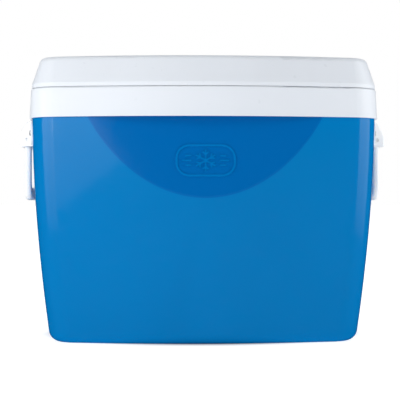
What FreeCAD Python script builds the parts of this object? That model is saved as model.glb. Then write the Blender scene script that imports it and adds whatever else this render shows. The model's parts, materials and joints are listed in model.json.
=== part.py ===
"""Insulated cooler chest: a blue outer shell, a white rim collar and liner, a hinged white lid and two
swinging side handles. Units are millimetres.

Row frame: the origin is the centre of the base on the floor, +Z is up, +X is the right side seen from
the front, and the front faces -Y.
"""

import FreeCAD, Part
import math
import os

V = FreeCAD.Vector
X_AXIS, Y_AXIS, Z_AXIS = V(1, 0, 0), V(0, 1, 0), V(0, 0, 1)

# ---- plan of the chest: four bowed sides joined by round corners ----
BODY_HALF_WIDTH = 232.0  # side wall under the collar, at mid depth
BODY_HALF_DEPTH = 168.0  # front wall under the collar, at mid width
FRONT_BOW_RADIUS = 850.0  # plan curve of the front and back walls
SIDE_BOW_RADIUS = 1500.0  # plan curve of the side walls
CORNER_RADIUS = 40.0

# ---- heights ----
COLLAR_BOTTOM_Z = 297.0
COLLAR_HEIGHT = 39.0
COLLAR_TOP_Z = COLLAR_BOTTOM_Z + COLLAR_HEIGHT
LID_HEIGHT = 40.7
LID_GAP = 0.3  # seam between the collar and the lid
LID_BOTTOM_Z = COLLAR_TOP_Z + LID_GAP
LID_TOP_Z = LID_BOTTOM_Z + LID_HEIGHT

# ---- taper of the walls below the collar: how far in they are at the floor, and how they curve ----
SIDE_DRAFT = 23.4
SIDE_DRAFT_POWER = 1.76
FRONT_DRAFT = 24.0
FRONT_DRAFT_POWER = 1.76
SHELL_LEVELS = 6  # sections that the curved walls are drawn through

# ---- outer shell ----
SHELL_WALL = 2.5
BASE_FILLET = 16.0
SHOULDER_RISE = 2.0  # how far the shoulder stands above the collar's lower edge
NECK_INSET = 3.5  # the neck that the collar sits over
PANEL_DEPTH = 13.4  # depth of the flat front panel under the collar, at mid width
PANEL_LEAN = 5.4  # degrees that the panel leans back
FOOT_WIDTH = 34.0  # flat ring that the chest stands on
FOOT_POCKET_DEPTH = 3.0
FOOT_RIB_WIDTH = 26.0

# ---- emblem on the front panel: a plain six-armed ice crystal between bars, in a round-cornered frame ----
EMBLEM_DROP = 57.0  # middle of the emblem, down from the collar
EMBLEM_Z = COLLAR_BOTTOM_Z - EMBLEM_DROP
EMBLEM_WIDTH = 78.0
EMBLEM_HEIGHT = 42.0
EMBLEM_CORNER = 18.0
EMBLEM_STROKE = 2.8
EMBLEM_RELIEF = 1.0
CRYSTAL_RADIUS = 14.5
CRYSTAL_STROKE = 2.2
TWIG_LENGTH = 5.5
TWIG_PLACE = 7.6  # along each arm, from the middle
TWIG_ANGLE = 45.0
EMBLEM_BAR_LENGTH = 12.0
EMBLEM_BAR_GAP = 4.0
EMBLEM_BAR_PITCH = 6.2
EMBLEM_BAR_STEP = 4.0  # how much shorter the outer bars are

# ---- insulation and liner ----
FOAM_GAP = 0.4  # clearance all round the foam parts
LINER_INSET = 20.0  # outside of the liner, in from the outside of the body
LINER_WALL = 2.0
LINER_FLOOR_Z = 26.0  # underside of the liner's floor
LINER_FILLET = 14.0
FLANGE_THICKNESS = 2.2

# ---- rim collar ----
COLLAR_WALL = 2.6
COLLAR_OVERHANG = 3.5  # lower edge, out from the body
COLLAR_TOP_OVERHANG = 1.5
COLLAR_EDGE_RADIUS = 2.4
COLLAR_DECK = 2.8
COLLAR_RIB_DROP = 10.0
COLLAR_RIB_WALL = 1.8
COLLAR_RIB_CLEARANCE = 0.25

# ---- lid ----
LID_WALL = 2.5
LID_LIP_HEIGHT = 5.2
LID_LIP_OVERHANG = 0.4
LID_TOP_INSET = 11.8  # where the sloping sides would meet the top
LID_TOP_FILLET = 9.0
LID_PANEL_MARGIN = 22.0  # flat rim between the fillet and the sunken top panel
LID_PANEL_DEPTH = 1.8
CUP_REST_RADIUS = 38.0
CUP_REST_DEPTH = 2.0
CUP_REST_X = 118.0
CUP_REST_Y = 52.0
PAN_RECESS = 0.8  # the pan's flange, up from the lid's lower edge
PAN_FLANGE = 2.4
PAN_WALL = 2.0
PAN_EDGE_CLEARANCE = 0.3
LEDGE_WIDTH = 3.0  # ledge inside the lid that the pan's flange bears on
LEDGE_HEIGHT = 2.5
PLUG_DEPTH = 18.0
PLUG_CLEARANCE = 1.5
PLUG_DRAFT = 3.0
PLUG_FILLET = 7.0
SEAL_INSET = 14.0
SEAL_WIDTH = 5.0
SEAL_GROOVE_DEPTH = 0.8
SEAL_CLEARANCE = 0.3

# ---- lid hinges ----
HINGE_X = 105.0
HINGE_CLEARANCE = 1.6  # between the knuckles and the back of the lid
HINGE_AXIS_RISE = 0.4
HINGE_AXIS_Z = COLLAR_TOP_Z + HINGE_AXIS_RISE
KNUCKLE_RADIUS = 6.0
OUTER_KNUCKLE_WIDTH = 12.0
LID_KNUCKLE_WIDTH = 20.0
KNUCKLE_GAP = 1.0
KNUCKLE_TURN_CLEARANCE = 0.6  # between the knuckles and the other plate as it turns
HINGE_PIN_RADIUS = 2.5
PIN_RUNNING_CLEARANCE = 0.05
PIN_HEAD_RADIUS = 3.8
PIN_HEAD_THICKNESS = 1.6
PIN_TAIL = 1.0  # how far the pin's inner end stands out of the knuckles
PIN_EDGE = 0.6
HINGE_PLATE = 2.8
HINGE_SKIN_GAP = 0.1  # between a hinge plate and what it is screwed to
HINGE_PLATE_CORNER = 5.0
BASE_PLATE_RISE = 8.0  # lower edge of the base's plate, up from the collar's lower edge
BASE_PLATE_BOTTOM = COLLAR_BOTTOM_Z + BASE_PLATE_RISE
BASE_PLATE_DROP = 5.0  # upper edge of the base's plate, down from the collar's top
BASE_PLATE_TOP = COLLAR_TOP_Z - BASE_PLATE_DROP
GUSSET_RISE = 4.0  # lower end of the knuckle's gusset, up from the plate's lower edge
GUSSET_FOOT = 1.0  # how far the gusset stands out from the plate at its lower end
LEAF_PLATE_RISE = 1.2
LEAF_PLATE_HEIGHT = 19.0
HINGE_SCREW_RADIUS = 1.5
HINGE_SCREW_HEAD_RADIUS = 3.0
HINGE_SCREW_HEAD_HEIGHT = 1.8
HINGE_SCREW_SINK = 0.6  # seat of the head, into the plate
HINGE_SCREW_PAST_PLATE = 2.9
BASE_SCREW_X = 5.5  # from the middle of the hinge
BASE_SCREW_RISE = 9.0  # up from the plate's lower edge
BASE_SCREW_Z = BASE_PLATE_BOTTOM + BASE_SCREW_RISE
LEAF_SCREW_X = 16.5
LEAF_SCREW_DROP = 9.0  # down from the plate's upper edge
LEAF_SCREW_Z = LID_BOTTOM_Z + LEAF_PLATE_RISE + LEAF_PLATE_HEIGHT - LEAF_SCREW_DROP
HINGE_SEAT_MARGIN = 0.5  # flat round each hinge screw's head
HINGE_HOLE_CLEARANCE = 0.2

# ---- brackets that carry the handles ----
HOOD_HEIGHT = 34.4
HOOD_COLLAR_GAP = 0.6
HOOD_TOP_Z = COLLAR_BOTTOM_Z - HOOD_COLLAR_GAP
HOOD_BOTTOM_Z = HOOD_TOP_Z - HOOD_HEIGHT
HOOD_REACH = 17.5  # outermost face, out from the side wall
HOOD_TOP_REACH = 4.0
HOOD_BULGE_REACH = 13.3  # middle of the hood's curved back
HOOD_BULGE_RISE = 1.5
HOOD_LIP_HEIGHT = 10.0
HOOD_LIP_TAPER = 0.4
HOOD_CHEEK = 6.0
HOOD_WALL = 2.8
HOOD_ROOT = 8.0  # how far the blank starts inside the side wall, before it is trimmed to it
HOOD_HOLLOW_START = 1.5
HOOD_END_RADIUS = 3.0
BRACKET_GAP = 0.2  # between the bracket and the shell
PLATE_THICKNESS = 3.0
PLATE_MARGIN = 2.0
PLATE_END = 11.0  # plate past each screw
SCREW_RADIUS = 2.0
SCREW_HEAD_RADIUS = 4.2
SCREW_HEAD_HEIGHT = 2.4
SCREW_LENGTH = 14.0
SCREW_SINK = 0.8  # seat of the head, into the plate
SCREW_HOLE_CLEARANCE = 0.3
SCREW_HOLE_REST = 2.5  # hole past the screw's point
SCREW_BOSS_RADIUS = 4.6
SCREW_BOSS_LENGTH = 12.0
SCREW_SEAT_MARGIN = 0.8  # flat round each screw's head
SCREW_TO_HOOD = 12.4  # from the hood's end to the middle of the screw

# ---- side handles ----
HANDLE_AXIS_OFFSET = 6.5  # pivot, out from the side wall
HANDLE_AXIS_RISE = 9.0  # pivot, up from the hood's lower edge
HANDLE_AXIS_Z = HOOD_BOTTOM_Z + HANDLE_AXIS_RISE
HANDLE_DROP = 81.8  # lower edge of the grip, down from the pivot
HANDLE_BOTTOM_Z = HANDLE_AXIS_Z - HANDLE_DROP
HANDLE_WIDTH = 130.0
HANDLE_ARM_WIDTH = 13.0
HANDLE_ARM_THICKNESS = 8.5
HANDLE_EYE_RADIUS = 7.0
GRIP_HEIGHT = 17.0
GRIP_THICKNESS = 10.5
GRIP_EDGE_RADIUS = 4.2
GRIP_END_CHAMFER = 0.9
HANDLE_CORNER_RADIUS = 20.0
HANDLE_EDGE_RADIUS = 3.0
HANDLE_PIN_RADIUS = 2.5
HANDLE_PIN_INSET = 1.5
HANDLE_PIN_CHAMFER = 0.5
ARM_SLOT_CLEARANCE = 0.6
ARM_SLOT_TOP_CLEARANCE = 1.6

SHOULDER_Z = COLLAR_BOTTOM_Z + SHOULDER_RISE
FLANGE_Z = COLLAR_TOP_Z - COLLAR_DECK - FLANGE_THICKNESS  # top edge of the shell's neck
REACH = 4 * BODY_HALF_WIDTH  # long enough to pass any part of the chest
PAST = 1.0  # how far a cutting piece passes the face that it cuts
FILLET_REST = 0.5  # flat left beside a fillet


def draft(z, amount, power):
    """How far in a wall is at height z."""
    share = max(COLLAR_BOTTOM_Z - z, 0.0) / COLLAR_BOTTOM_Z
    return amount * share**power


def body_size(z):
    """Half width and half depth of the body's outside at height z."""
    return (
        BODY_HALF_WIDTH - draft(z, SIDE_DRAFT, SIDE_DRAFT_POWER),
        BODY_HALF_DEPTH - draft(z, FRONT_DRAFT, FRONT_DRAFT_POWER),
    )


def plan_arcs(half_width, half_depth, grow):
    """Centres and radii of the front arc, the side arc and the corner arc of one plan, moved out by grow."""
    front_centre = V(0, FRONT_BOW_RADIUS - half_depth, 0)
    side_centre = V(half_width - SIDE_BOW_RADIUS, 0, 0)
    front_reach = FRONT_BOW_RADIUS - CORNER_RADIUS
    side_reach = SIDE_BOW_RADIUS - CORNER_RADIUS
    between = side_centre - front_centre
    length = between.Length
    along = (front_reach**2 - side_reach**2 + length**2) / (2 * length)
    across = math.sqrt(front_reach**2 - along**2)
    unit = between * (1 / length)
    normal = V(unit.y, -unit.x, 0)
    choices = [front_centre + unit * along + normal * (side * across) for side in (1, -1)]
    corner_centre = next(c for c in choices if c.x > 0 and c.y < 0)
    return (
        (front_centre, FRONT_BOW_RADIUS + grow),
        (side_centre, SIDE_BOW_RADIUS + grow),
        (corner_centre, CORNER_RADIUS + grow),
    )


def plan_wire(half_width, half_depth, z, grow=0.0):
    """Closed outline of the chest's plan at height z: front, corner, side, corner, back and so on."""
    (front_c, front_r), (side_c, side_r), (corner_c, corner_r) = plan_arcs(half_width, half_depth, grow)
    front_end = front_c + (corner_c - front_c).normalize() * front_r
    side_end = side_c + (corner_c - side_c).normalize() * side_r
    outward = ((front_end - corner_c) + (side_end - corner_c)).normalize()
    corner_mid = corner_c + outward * corner_r
    front_mid = V(0, front_c.y - front_r, 0)
    side_mid = V(side_c.x + side_r, 0, 0)
    quarter = [front_mid, front_end, corner_mid, side_end, side_mid]

    def place(point, sign_x, sign_y):
        return V(point.x * sign_x, point.y * sign_y, z)

    edges = []
    for first, middle, last, flip in (
        (place(quarter[1], -1, 1), place(quarter[0], 1, 1), place(quarter[1], 1, 1), None),
        (place(quarter[1], 1, 1), place(quarter[2], 1, 1), place(quarter[3], 1, 1), None),
        (place(quarter[3], 1, 1), place(quarter[4], 1, 1), place(quarter[3], 1, -1), None),
        (place(quarter[3], 1, -1), place(quarter[2], 1, -1), place(quarter[1], 1, -1), None),
        (place(quarter[1], 1, -1), place(quarter[0], 1, -1), place(quarter[1], -1, -1), None),
        (place(quarter[1], -1, -1), place(quarter[2], -1, -1), place(quarter[3], -1, -1), None),
        (place(quarter[3], -1, -1), place(quarter[4], -1, -1), place(quarter[3], -1, 1), None),
        (place(quarter[3], -1, 1), place(quarter[2], -1, 1), place(quarter[1], -1, 1), None),
    ):
        edges.append(Part.Arc(first, middle, last).toShape())
    return Part.Wire(edges)


def prism(half_width, half_depth, z_low, z_high, grow=0.0):
    """Upright solid with one plan all the way up."""
    wire = plan_wire(half_width, half_depth, z_low, grow)
    return Part.Face(wire).extrude(V(0, 0, z_high - z_low))


def straight_loft(low, high):
    """Solid with straight sides between two (half width, half depth, z, grow) plans."""
    return Part.makeLoft([plan_wire(*low), plan_wire(*high)], True, True)


def body_loft(z_low, z_high, grow):
    """Solid inside the body's curved walls, moved out by grow."""
    step = (z_high - z_low) / (SHELL_LEVELS - 1)
    levels = [z_low + step * n for n in range(SHELL_LEVELS)]
    wires = [plan_wire(*body_size(z), z, grow) for z in levels]
    return Part.makeLoft(wires, True, False)


def edges_at(shape, z):
    """Edges that lie wholly at height z."""
    return [e for e in shape.Edges if all(abs(p.z - z) < 1e-3 for p in e.discretize(5))]


def round_at(shape, z, radius):
    """The shape with its edges at height z rounded."""
    return shape.makeFillet(radius, edges_at(shape, z))


def block(x_low, x_high, y_low, y_high, z_low, z_high):
    """Box between two corners."""
    return Part.makeBox(x_high - x_low, y_high - y_low, z_high - z_low, V(x_low, y_low, z_low))


def cylinder(radius, length, start, direction):
    return Part.makeCylinder(radius, length, start, direction)


def side_profile(points, x_low, x_high):
    """Solid with a polygon of (y, z) points as its section, from x_low to x_high."""
    corners = [V(x_low, y, z) for y, z in points]
    face = Part.Face(Part.makePolygon(corners + corners[:1]))
    return face.extrude(V(x_high - x_low, 0, 0))


def mirrored(shape):
    """The same piece for the left side."""
    return shape.mirror(V(0, 0, 0), X_AXIS)


# ---------------------------------------------------------------- outer shell


def panel_y(z):
    """Y of the flat front panel at height z."""
    lean = math.tan(math.radians(PANEL_LEAN))
    return -BODY_HALF_DEPTH + PANEL_DEPTH - (COLLAR_BOTTOM_Z - z) * lean


def panel_cutter(inward):
    """What is taken off the body to leave the flat front panel, moved into the chest by inward."""
    low = COLLAR_BOTTOM_Z / 2
    high = SHOULDER_Z + inward
    front = -BODY_HALF_DEPTH - COLLAR_OVERHANG
    points = [
        (panel_y(low) + inward, low),
        (panel_y(high) + inward, high),
        (front, high),
        (front, low),
    ]
    return side_profile(points, -BODY_HALF_WIDTH, BODY_HALF_WIDTH)


def foot_pockets(side_margin, depth):
    """Four pockets under the base, left by the foot ring and two crossing ribs."""
    pocket = prism(*body_size(0), 0, depth, -(FOOT_WIDTH + side_margin))
    rib = FOOT_RIB_WIDTH / 2 + side_margin
    pocket = pocket.cut(block(-REACH, REACH, -rib, rib, -1, depth + 1))
    return pocket.cut(block(-rib, rib, -REACH, REACH, -1, depth + 1))


def rounded_plate(width, height, radius, foot, thickness):
    """Flat plate with round corners, centred on the Z axis."""
    plate = Part.makeBox(width, height, thickness, V(-width / 2, -height / 2, foot))
    upright = [e for e in plate.Edges if abs(e.Length - thickness) < 1e-3]
    return plate.makeFillet(radius, upright)


def emblem():
    """Raised frame, ice crystal and bars, in the plane of the front panel."""
    foot = -EMBLEM_RELIEF  # sunk a little into the panel so that it joins the shell
    height = 2 * EMBLEM_RELIEF
    outer = rounded_plate(EMBLEM_WIDTH, EMBLEM_HEIGHT, EMBLEM_CORNER, foot, height)
    inner_width, inner_height = EMBLEM_WIDTH - 2 * EMBLEM_STROKE, EMBLEM_HEIGHT - 2 * EMBLEM_STROKE
    inner = rounded_plate(inner_width, inner_height, EMBLEM_CORNER - EMBLEM_STROKE, foot - PAST, height + 2 * PAST)
    pieces = [outer.cut(inner)]
    stroke = CRYSTAL_STROKE
    for n in range(6):
        arm = Part.makeBox(CRYSTAL_RADIUS, stroke, height, V(0, -stroke / 2, foot))
        for side in (-1, 1):
            twig = Part.makeBox(TWIG_LENGTH, stroke, height, V(0, -stroke / 2, foot))
            twig.rotate(V(0, 0, 0), Z_AXIS, TWIG_ANGLE * side)
            twig.translate(V(TWIG_PLACE, 0, 0))
            arm = arm.fuse(twig)
        arm.rotate(V(0, 0, 0), Z_AXIS, 90 + 60 * n)
        pieces.append(arm)
    start = CRYSTAL_RADIUS + EMBLEM_BAR_GAP
    for side in (-1, 1):
        for level in (-1, 0, 1):
            length = EMBLEM_BAR_LENGTH - abs(level) * EMBLEM_BAR_STEP
            x = start if side > 0 else -start - length
            y = level * EMBLEM_BAR_PITCH - stroke / 2
            pieces.append(Part.makeBox(length, stroke, height, V(x, y, foot)))
    mark = pieces[0].multiFuse(pieces[1:])
    mark.rotate(V(0, 0, 0), X_AXIS, 90 - PANEL_LEAN)
    mark.translate(V(0, panel_y(EMBLEM_Z), EMBLEM_Z))
    return mark


def hood_half_length():
    return HANDLE_WIDTH / 2 + ARM_SLOT_CLEARANCE + HOOD_CHEEK


def screw_places():
    """Y of the two screws in each bracket."""
    place = hood_half_length() + SCREW_TO_HOOD
    return (-place, place)


def screw_height():
    return HOOD_BOTTOM_Z + HOOD_HEIGHT / 2


def screw_seat_x():
    """X of the flat seat under each screw head, a little into the bracket's plate."""
    bow = screw_places()[1] ** 2 / (2 * SIDE_BOW_RADIUS)
    half_width, _ = body_size(screw_height())
    return half_width - bow + BRACKET_GAP + PLATE_THICKNESS - SCREW_SINK


def screw_bosses(radius, length):
    """Posts inside the shell that the bracket screws bite into."""
    posts = []
    for y in screw_places():
        start = V(screw_seat_x() - PLATE_THICKNESS - BRACKET_GAP, y, screw_height())
        post = cylinder(radius, length, start, V(-1, 0, 0))
        posts += [post, mirrored(post)]
    return posts


def screw_bores(radius):
    """Holes for the bracket screws, through the plate, the wall and the boss."""
    holes = []
    for y in screw_places():
        start = V(screw_seat_x() + PAST, y, screw_height())
        hole = cylinder(radius, SCREW_LENGTH + SCREW_HOLE_REST, start, V(-1, 0, 0))
        holes += [hole, mirrored(hole)]
    return holes


def shell_outside():
    body = round_at(body_loft(0, SHOULDER_Z, 0), 0, BASE_FILLET)
    body = body.cut(panel_cutter(0))
    neck = prism(BODY_HALF_WIDTH, BODY_HALF_DEPTH, SHOULDER_Z, FLANGE_Z, -NECK_INSET)
    return body.fuse(neck)


def shell_inside(extra=0.0):
    """Room inside the shell, made smaller by extra all round."""
    wall = SHELL_WALL + extra
    top = SHOULDER_Z - wall
    body = body_loft(wall, top, -wall)
    body = round_at(body, wall, BASE_FILLET - wall)
    neck = prism(BODY_HALF_WIDTH, BODY_HALF_DEPTH, top - 1, FLANGE_Z, -NECK_INSET - wall)
    pad = foot_pockets(-wall, FOOT_POCKET_DEPTH + wall)
    return body.fuse(neck).cut(panel_cutter(wall)).cut(pad)


def make_outer_shell():
    shell = shell_outside().cut(shell_inside())
    shell = shell.cut(foot_pockets(0, FOOT_POCKET_DEPTH))
    # The posts start inside the wall, so the union leaves the outside smooth.
    shell = shell.fuse(screw_bosses(SCREW_BOSS_RADIUS, SCREW_BOSS_LENGTH))
    shell = shell.cut(screw_bores(SCREW_RADIUS + PIN_RUNNING_CLEARANCE))
    return shell.fuse(emblem())


# ---------------------------------------------------------------- liner and foam


def liner_loft(grow, z_low):
    """Straight-sided solid of the liner's outside, moved out by grow, from z_low to the neck's top."""
    width_low, depth_low = body_size(LINER_FLOOR_Z)
    rise = (z_low - LINER_FLOOR_Z) / (FLANGE_Z - LINER_FLOOR_Z)
    width = width_low + (BODY_HALF_WIDTH - width_low) * rise
    depth = depth_low + (BODY_HALF_DEPTH - depth_low) * rise
    low = (width, depth, z_low, grow - LINER_INSET)
    high = (BODY_HALF_WIDTH, BODY_HALF_DEPTH, FLANGE_Z, grow - LINER_INSET)
    return straight_loft(low, high)


def make_body_insulation():
    room = shell_inside(FOAM_GAP).common(block(-REACH, REACH, -REACH, REACH, 0, FLANGE_Z - FOAM_GAP))
    hole = round_at(liner_loft(FOAM_GAP, LINER_FLOOR_Z - FOAM_GAP), LINER_FLOOR_Z - FOAM_GAP, LINER_FILLET)
    foam = room.cut(hole)
    return foam.cut(screw_bosses(SCREW_BOSS_RADIUS + FOAM_GAP, SCREW_BOSS_LENGTH + FOAM_GAP))


def make_inner_liner():
    outside = round_at(liner_loft(0, LINER_FLOOR_Z), LINER_FLOOR_Z, LINER_FILLET)
    flange = prism(BODY_HALF_WIDTH, BODY_HALF_DEPTH, FLANGE_Z, FLANGE_Z + FLANGE_THICKNESS, -NECK_INSET)
    floor = LINER_FLOOR_Z + LINER_WALL
    inside = round_at(liner_loft(-LINER_WALL, floor), floor, LINER_FILLET - LINER_WALL)
    mouth = prism(
        BODY_HALF_WIDTH, BODY_HALF_DEPTH, FLANGE_Z - 1, FLANGE_Z + FLANGE_THICKNESS + 1, -LINER_INSET - LINER_WALL
    )
    return outside.fuse(flange).cut(inside).cut(mouth)


# ---------------------------------------------------------------- hinges


def hinge_half_width():
    """Half the width over the three knuckles of one hinge."""
    return LID_KNUCKLE_WIDTH / 2 + KNUCKLE_GAP + OUTER_KNUCKLE_WIDTH


def back_y(x, grow):
    """Y of the back wall's plan, moved out by grow, at a given x."""
    return BODY_HALF_DEPTH - FRONT_BOW_RADIUS + math.sqrt((FRONT_BOW_RADIUS + grow) ** 2 - x**2)


def hinge_axis_y():
    """Y of the hinge pins: the knuckles clear the bowed back of the lid at their inner end."""
    return back_y(HINGE_X - hinge_half_width(), LID_LIP_OVERHANG) + HINGE_CLEARANCE + KNUCKLE_RADIUS


def hinge_cylinder(radius, x_low, x_high):
    return cylinder(radius, x_high - x_low, V(x_low, hinge_axis_y(), HINGE_AXIS_Z), X_AXIS)


def outer_knuckle_spans():
    """X ranges of the base's two knuckles on the right side."""
    inner, outer = LID_KNUCKLE_WIDTH / 2 + KNUCKLE_GAP, hinge_half_width()
    return ((HINGE_X - outer, HINGE_X - inner), (HINGE_X + inner, HINGE_X + outer))


def hinge_block(z_low, z_high):
    """The room that one hinge's plate takes, behind the chest's middle."""
    half = hinge_half_width()
    return block(HINGE_X - half, HINGE_X + half, 0, REACH, z_low, z_high)


def round_plate_corners(plate_block, z_edge, radius):
    """The block with its two corners at height z_edge rounded, seen from behind."""
    half = hinge_half_width()
    corners = [
        e
        for e in plate_block.Edges
        if abs(e.CenterOfMass.z - z_edge) < 1e-3 and abs(abs(e.CenterOfMass.x - HINGE_X) - half) < 1e-3
    ]
    return plate_block.makeFillet(radius, corners)


def base_screw_seats():
    """Seats of the two screws that hold the right hinge base to the collar."""
    seats = []
    for x in (HINGE_X - BASE_SCREW_X, HINGE_X + BASE_SCREW_X):
        skin = back_y(x, collar_grow(BASE_SCREW_Z))
        seats.append(V(x, skin + HINGE_SKIN_GAP + HINGE_PLATE - HINGE_SCREW_SINK, BASE_SCREW_Z))
    return seats


def leaf_screw_seats():
    """Seats of the two screws that hold the right hinge leaf to the lid."""
    seats = []
    for x in (HINGE_X - LEAF_SCREW_X, HINGE_X + LEAF_SCREW_X):
        skin = back_y(x, crown_grow(LEAF_SCREW_Z))
        seats.append(V(x, skin + HINGE_SKIN_GAP + HINGE_PLATE - HINGE_SCREW_SINK, LEAF_SCREW_Z))
    return seats


def seated(shape, seats):
    """The plate with a flat seat and a clearance hole for each of its screws."""
    for seat in seats:
        shape = shape.cut(cylinder(HINGE_SCREW_HEAD_RADIUS + HINGE_SEAT_MARGIN, REACH, seat, Y_AXIS))
        shape = shape.cut(cylinder(HINGE_SCREW_RADIUS + HINGE_HOLE_CLEARANCE, REACH, seat, -Y_AXIS))
    return shape


def hinge_screw_bores(seats):
    """Holes for the hinge screws in what they bite into."""
    bores = []
    for seat in seats:
        length = HINGE_PLATE - HINGE_SCREW_SINK + HINGE_SCREW_PAST_PLATE + PAST
        bore = cylinder(HINGE_SCREW_RADIUS + PIN_RUNNING_CLEARANCE, length, seat, -Y_AXIS)
        bores += [bore, mirrored(bore)]
    return bores


def make_hinge_base():
    """Plate on the collar's back with two knuckles that stand out on gussets."""
    skin = collar_blank(HINGE_SKIN_GAP)
    plate = round_plate_corners(hinge_block(BASE_PLATE_BOTTOM, BASE_PLATE_TOP), BASE_PLATE_BOTTOM, HINGE_PLATE_CORNER)
    base = plate.common(collar_blank(HINGE_SKIN_GAP + HINGE_PLATE))
    axis = hinge_axis_y()
    rear = axis + KNUCKLE_RADIUS
    inner = back_y(HINGE_X + hinge_half_width(), 0)
    gusset_low = BASE_PLATE_BOTTOM + GUSSET_RISE
    section = [
        (inner, gusset_low),
        (back_y(HINGE_X, 0) + HINGE_PLATE + GUSSET_FOOT, gusset_low),
        (rear, HINGE_AXIS_Z - KNUCKLE_RADIUS / 2),
        (rear, HINGE_AXIS_Z),
        (axis, HINGE_AXIS_Z),
        (axis - KNUCKLE_RADIUS, COLLAR_TOP_Z - COLLAR_EDGE_RADIUS),
        (inner, COLLAR_TOP_Z - COLLAR_EDGE_RADIUS),
    ]
    for x_low, x_high in outer_knuckle_spans():
        knuckle = side_profile(section, x_low, x_high).fuse(hinge_cylinder(KNUCKLE_RADIUS, x_low, x_high))
        base = base.fuse(knuckle)
    base = base.cut(skin).cut(hinge_bores())
    return seated(base, base_screw_seats())


def make_hinge_leaf():
    """Plate on the lid's back with the middle knuckle."""
    low = LID_BOTTOM_Z + LEAF_PLATE_RISE
    high = low + LEAF_PLATE_HEIGHT
    plate = round_plate_corners(hinge_block(low, high), high, HINGE_PLATE_CORNER)
    leaf = plate.common(crown(-HINGE_SKIN_GAP - HINGE_PLATE))
    for x_low, x_high in outer_knuckle_spans():
        turning_room = KNUCKLE_RADIUS + KNUCKLE_TURN_CLEARANCE
        leaf = leaf.cut(hinge_cylinder(turning_room, x_low - KNUCKLE_GAP, x_high + KNUCKLE_GAP))
    x_low = HINGE_X - LID_KNUCKLE_WIDTH / 2
    x_high = HINGE_X + LID_KNUCKLE_WIDTH / 2
    arm = block(x_low, x_high, 0, hinge_axis_y(), LID_BOTTOM_Z, HINGE_AXIS_Z + KNUCKLE_RADIUS)
    leaf = leaf.fuse(arm).fuse(hinge_cylinder(KNUCKLE_RADIUS, x_low, x_high))
    room_below = block(-REACH, REACH, -REACH, back_y(HINGE_X, 0), 0, LID_BOTTOM_Z)
    leaf = leaf.cut(crown(-HINGE_SKIN_GAP)).cut(room_below).cut(hinge_bores())
    return seated(leaf, leaf_screw_seats())


def hinge_bores():
    reach = hinge_half_width() + PAST
    bore = hinge_cylinder(HINGE_PIN_RADIUS + PIN_RUNNING_CLEARANCE, HINGE_X - reach, HINGE_X + reach)
    return [bore, mirrored(bore)]


def make_hinge_pin():
    """Right-hand hinge pin: a rod with a flat head on its outer end and a tapered tip."""
    low = outer_knuckle_spans()[0][0]
    high = outer_knuckle_spans()[1][1]
    tail = low - PIN_TAIL
    rod = hinge_cylinder(HINGE_PIN_RADIUS, tail, high)
    rod = rod.makeChamfer(PIN_EDGE, [e for e in rod.Edges if abs(e.CenterOfMass.x - tail) < 1e-3])
    head = hinge_cylinder(PIN_HEAD_RADIUS, high, high + PIN_HEAD_THICKNESS)
    tip = [e for e in head.Edges if abs(e.CenterOfMass.x - high - PIN_HEAD_THICKNESS) < 1e-3]
    return rod.fuse(head.makeFillet(PIN_EDGE, tip)).removeSplitter()


# ---------------------------------------------------------------- collar


def collar_grow(z):
    """How far the collar's outside stands out from the body at height z."""
    share = (z - COLLAR_BOTTOM_Z) / COLLAR_HEIGHT
    return COLLAR_OVERHANG + (COLLAR_TOP_OVERHANG - COLLAR_OVERHANG) * share


def collar_blank(extra):
    """The collar's outside as a solid block, moved out by extra, with its top edge rounded."""
    size = (BODY_HALF_WIDTH, BODY_HALF_DEPTH)
    low = (*size, COLLAR_BOTTOM_Z, COLLAR_OVERHANG + extra)
    high = (*size, COLLAR_TOP_Z, COLLAR_TOP_OVERHANG + extra)
    return round_at(straight_loft(low, high), COLLAR_TOP_Z, COLLAR_EDGE_RADIUS)


def make_rim_collar():
    size = (BODY_HALF_WIDTH, BODY_HALF_DEPTH)
    deck = COLLAR_TOP_Z - COLLAR_DECK
    low = (*size, COLLAR_BOTTOM_Z - 1, COLLAR_OVERHANG - COLLAR_WALL)
    inside = straight_loft(low, (*size, deck, collar_grow(deck) - COLLAR_WALL))
    rib_inner = COLLAR_RIB_CLEARANCE - NECK_INSET
    rib = prism(*size, deck - COLLAR_RIB_DROP, deck, rib_inner + COLLAR_RIB_WALL)
    rib = rib.cut(prism(*size, deck - COLLAR_RIB_DROP - 1, deck, rib_inner))
    mouth = prism(*size, deck - 1, COLLAR_TOP_Z + 1, -LINER_INSET - LINER_WALL)
    collar = collar_blank(0).cut(inside).fuse(rib).cut(mouth)
    return collar.cut(hinge_screw_bores(base_screw_seats()))


# ---------------------------------------------------------------- lid


def crown_grow(z):
    """How far the lid's outside stands out from the body's plan at height z above the lip."""
    lip_top = LID_BOTTOM_Z + LID_LIP_HEIGHT
    share = (z - lip_top) / (LID_TOP_Z - lip_top)
    return LID_LIP_OVERHANG - (LID_LIP_OVERHANG + LID_TOP_INSET) * share


def crown(extra):
    """Outside of the lid made smaller by extra: a short upright lip, then sloping sides."""
    size = (BODY_HALF_WIDTH, BODY_HALF_DEPTH)
    lip_top = LID_BOTTOM_Z + LID_LIP_HEIGHT
    top = LID_TOP_Z - extra
    low = (*size, lip_top, LID_LIP_OVERHANG - extra)
    slope = straight_loft(low, (*size, top, crown_grow(top) - extra))
    slope = round_at(slope, top, max(LID_TOP_FILLET - extra, 1.0))
    lip = prism(*size, LID_BOTTOM_Z, lip_top, LID_LIP_OVERHANG - extra)
    return lip.fuse(slope)


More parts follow.
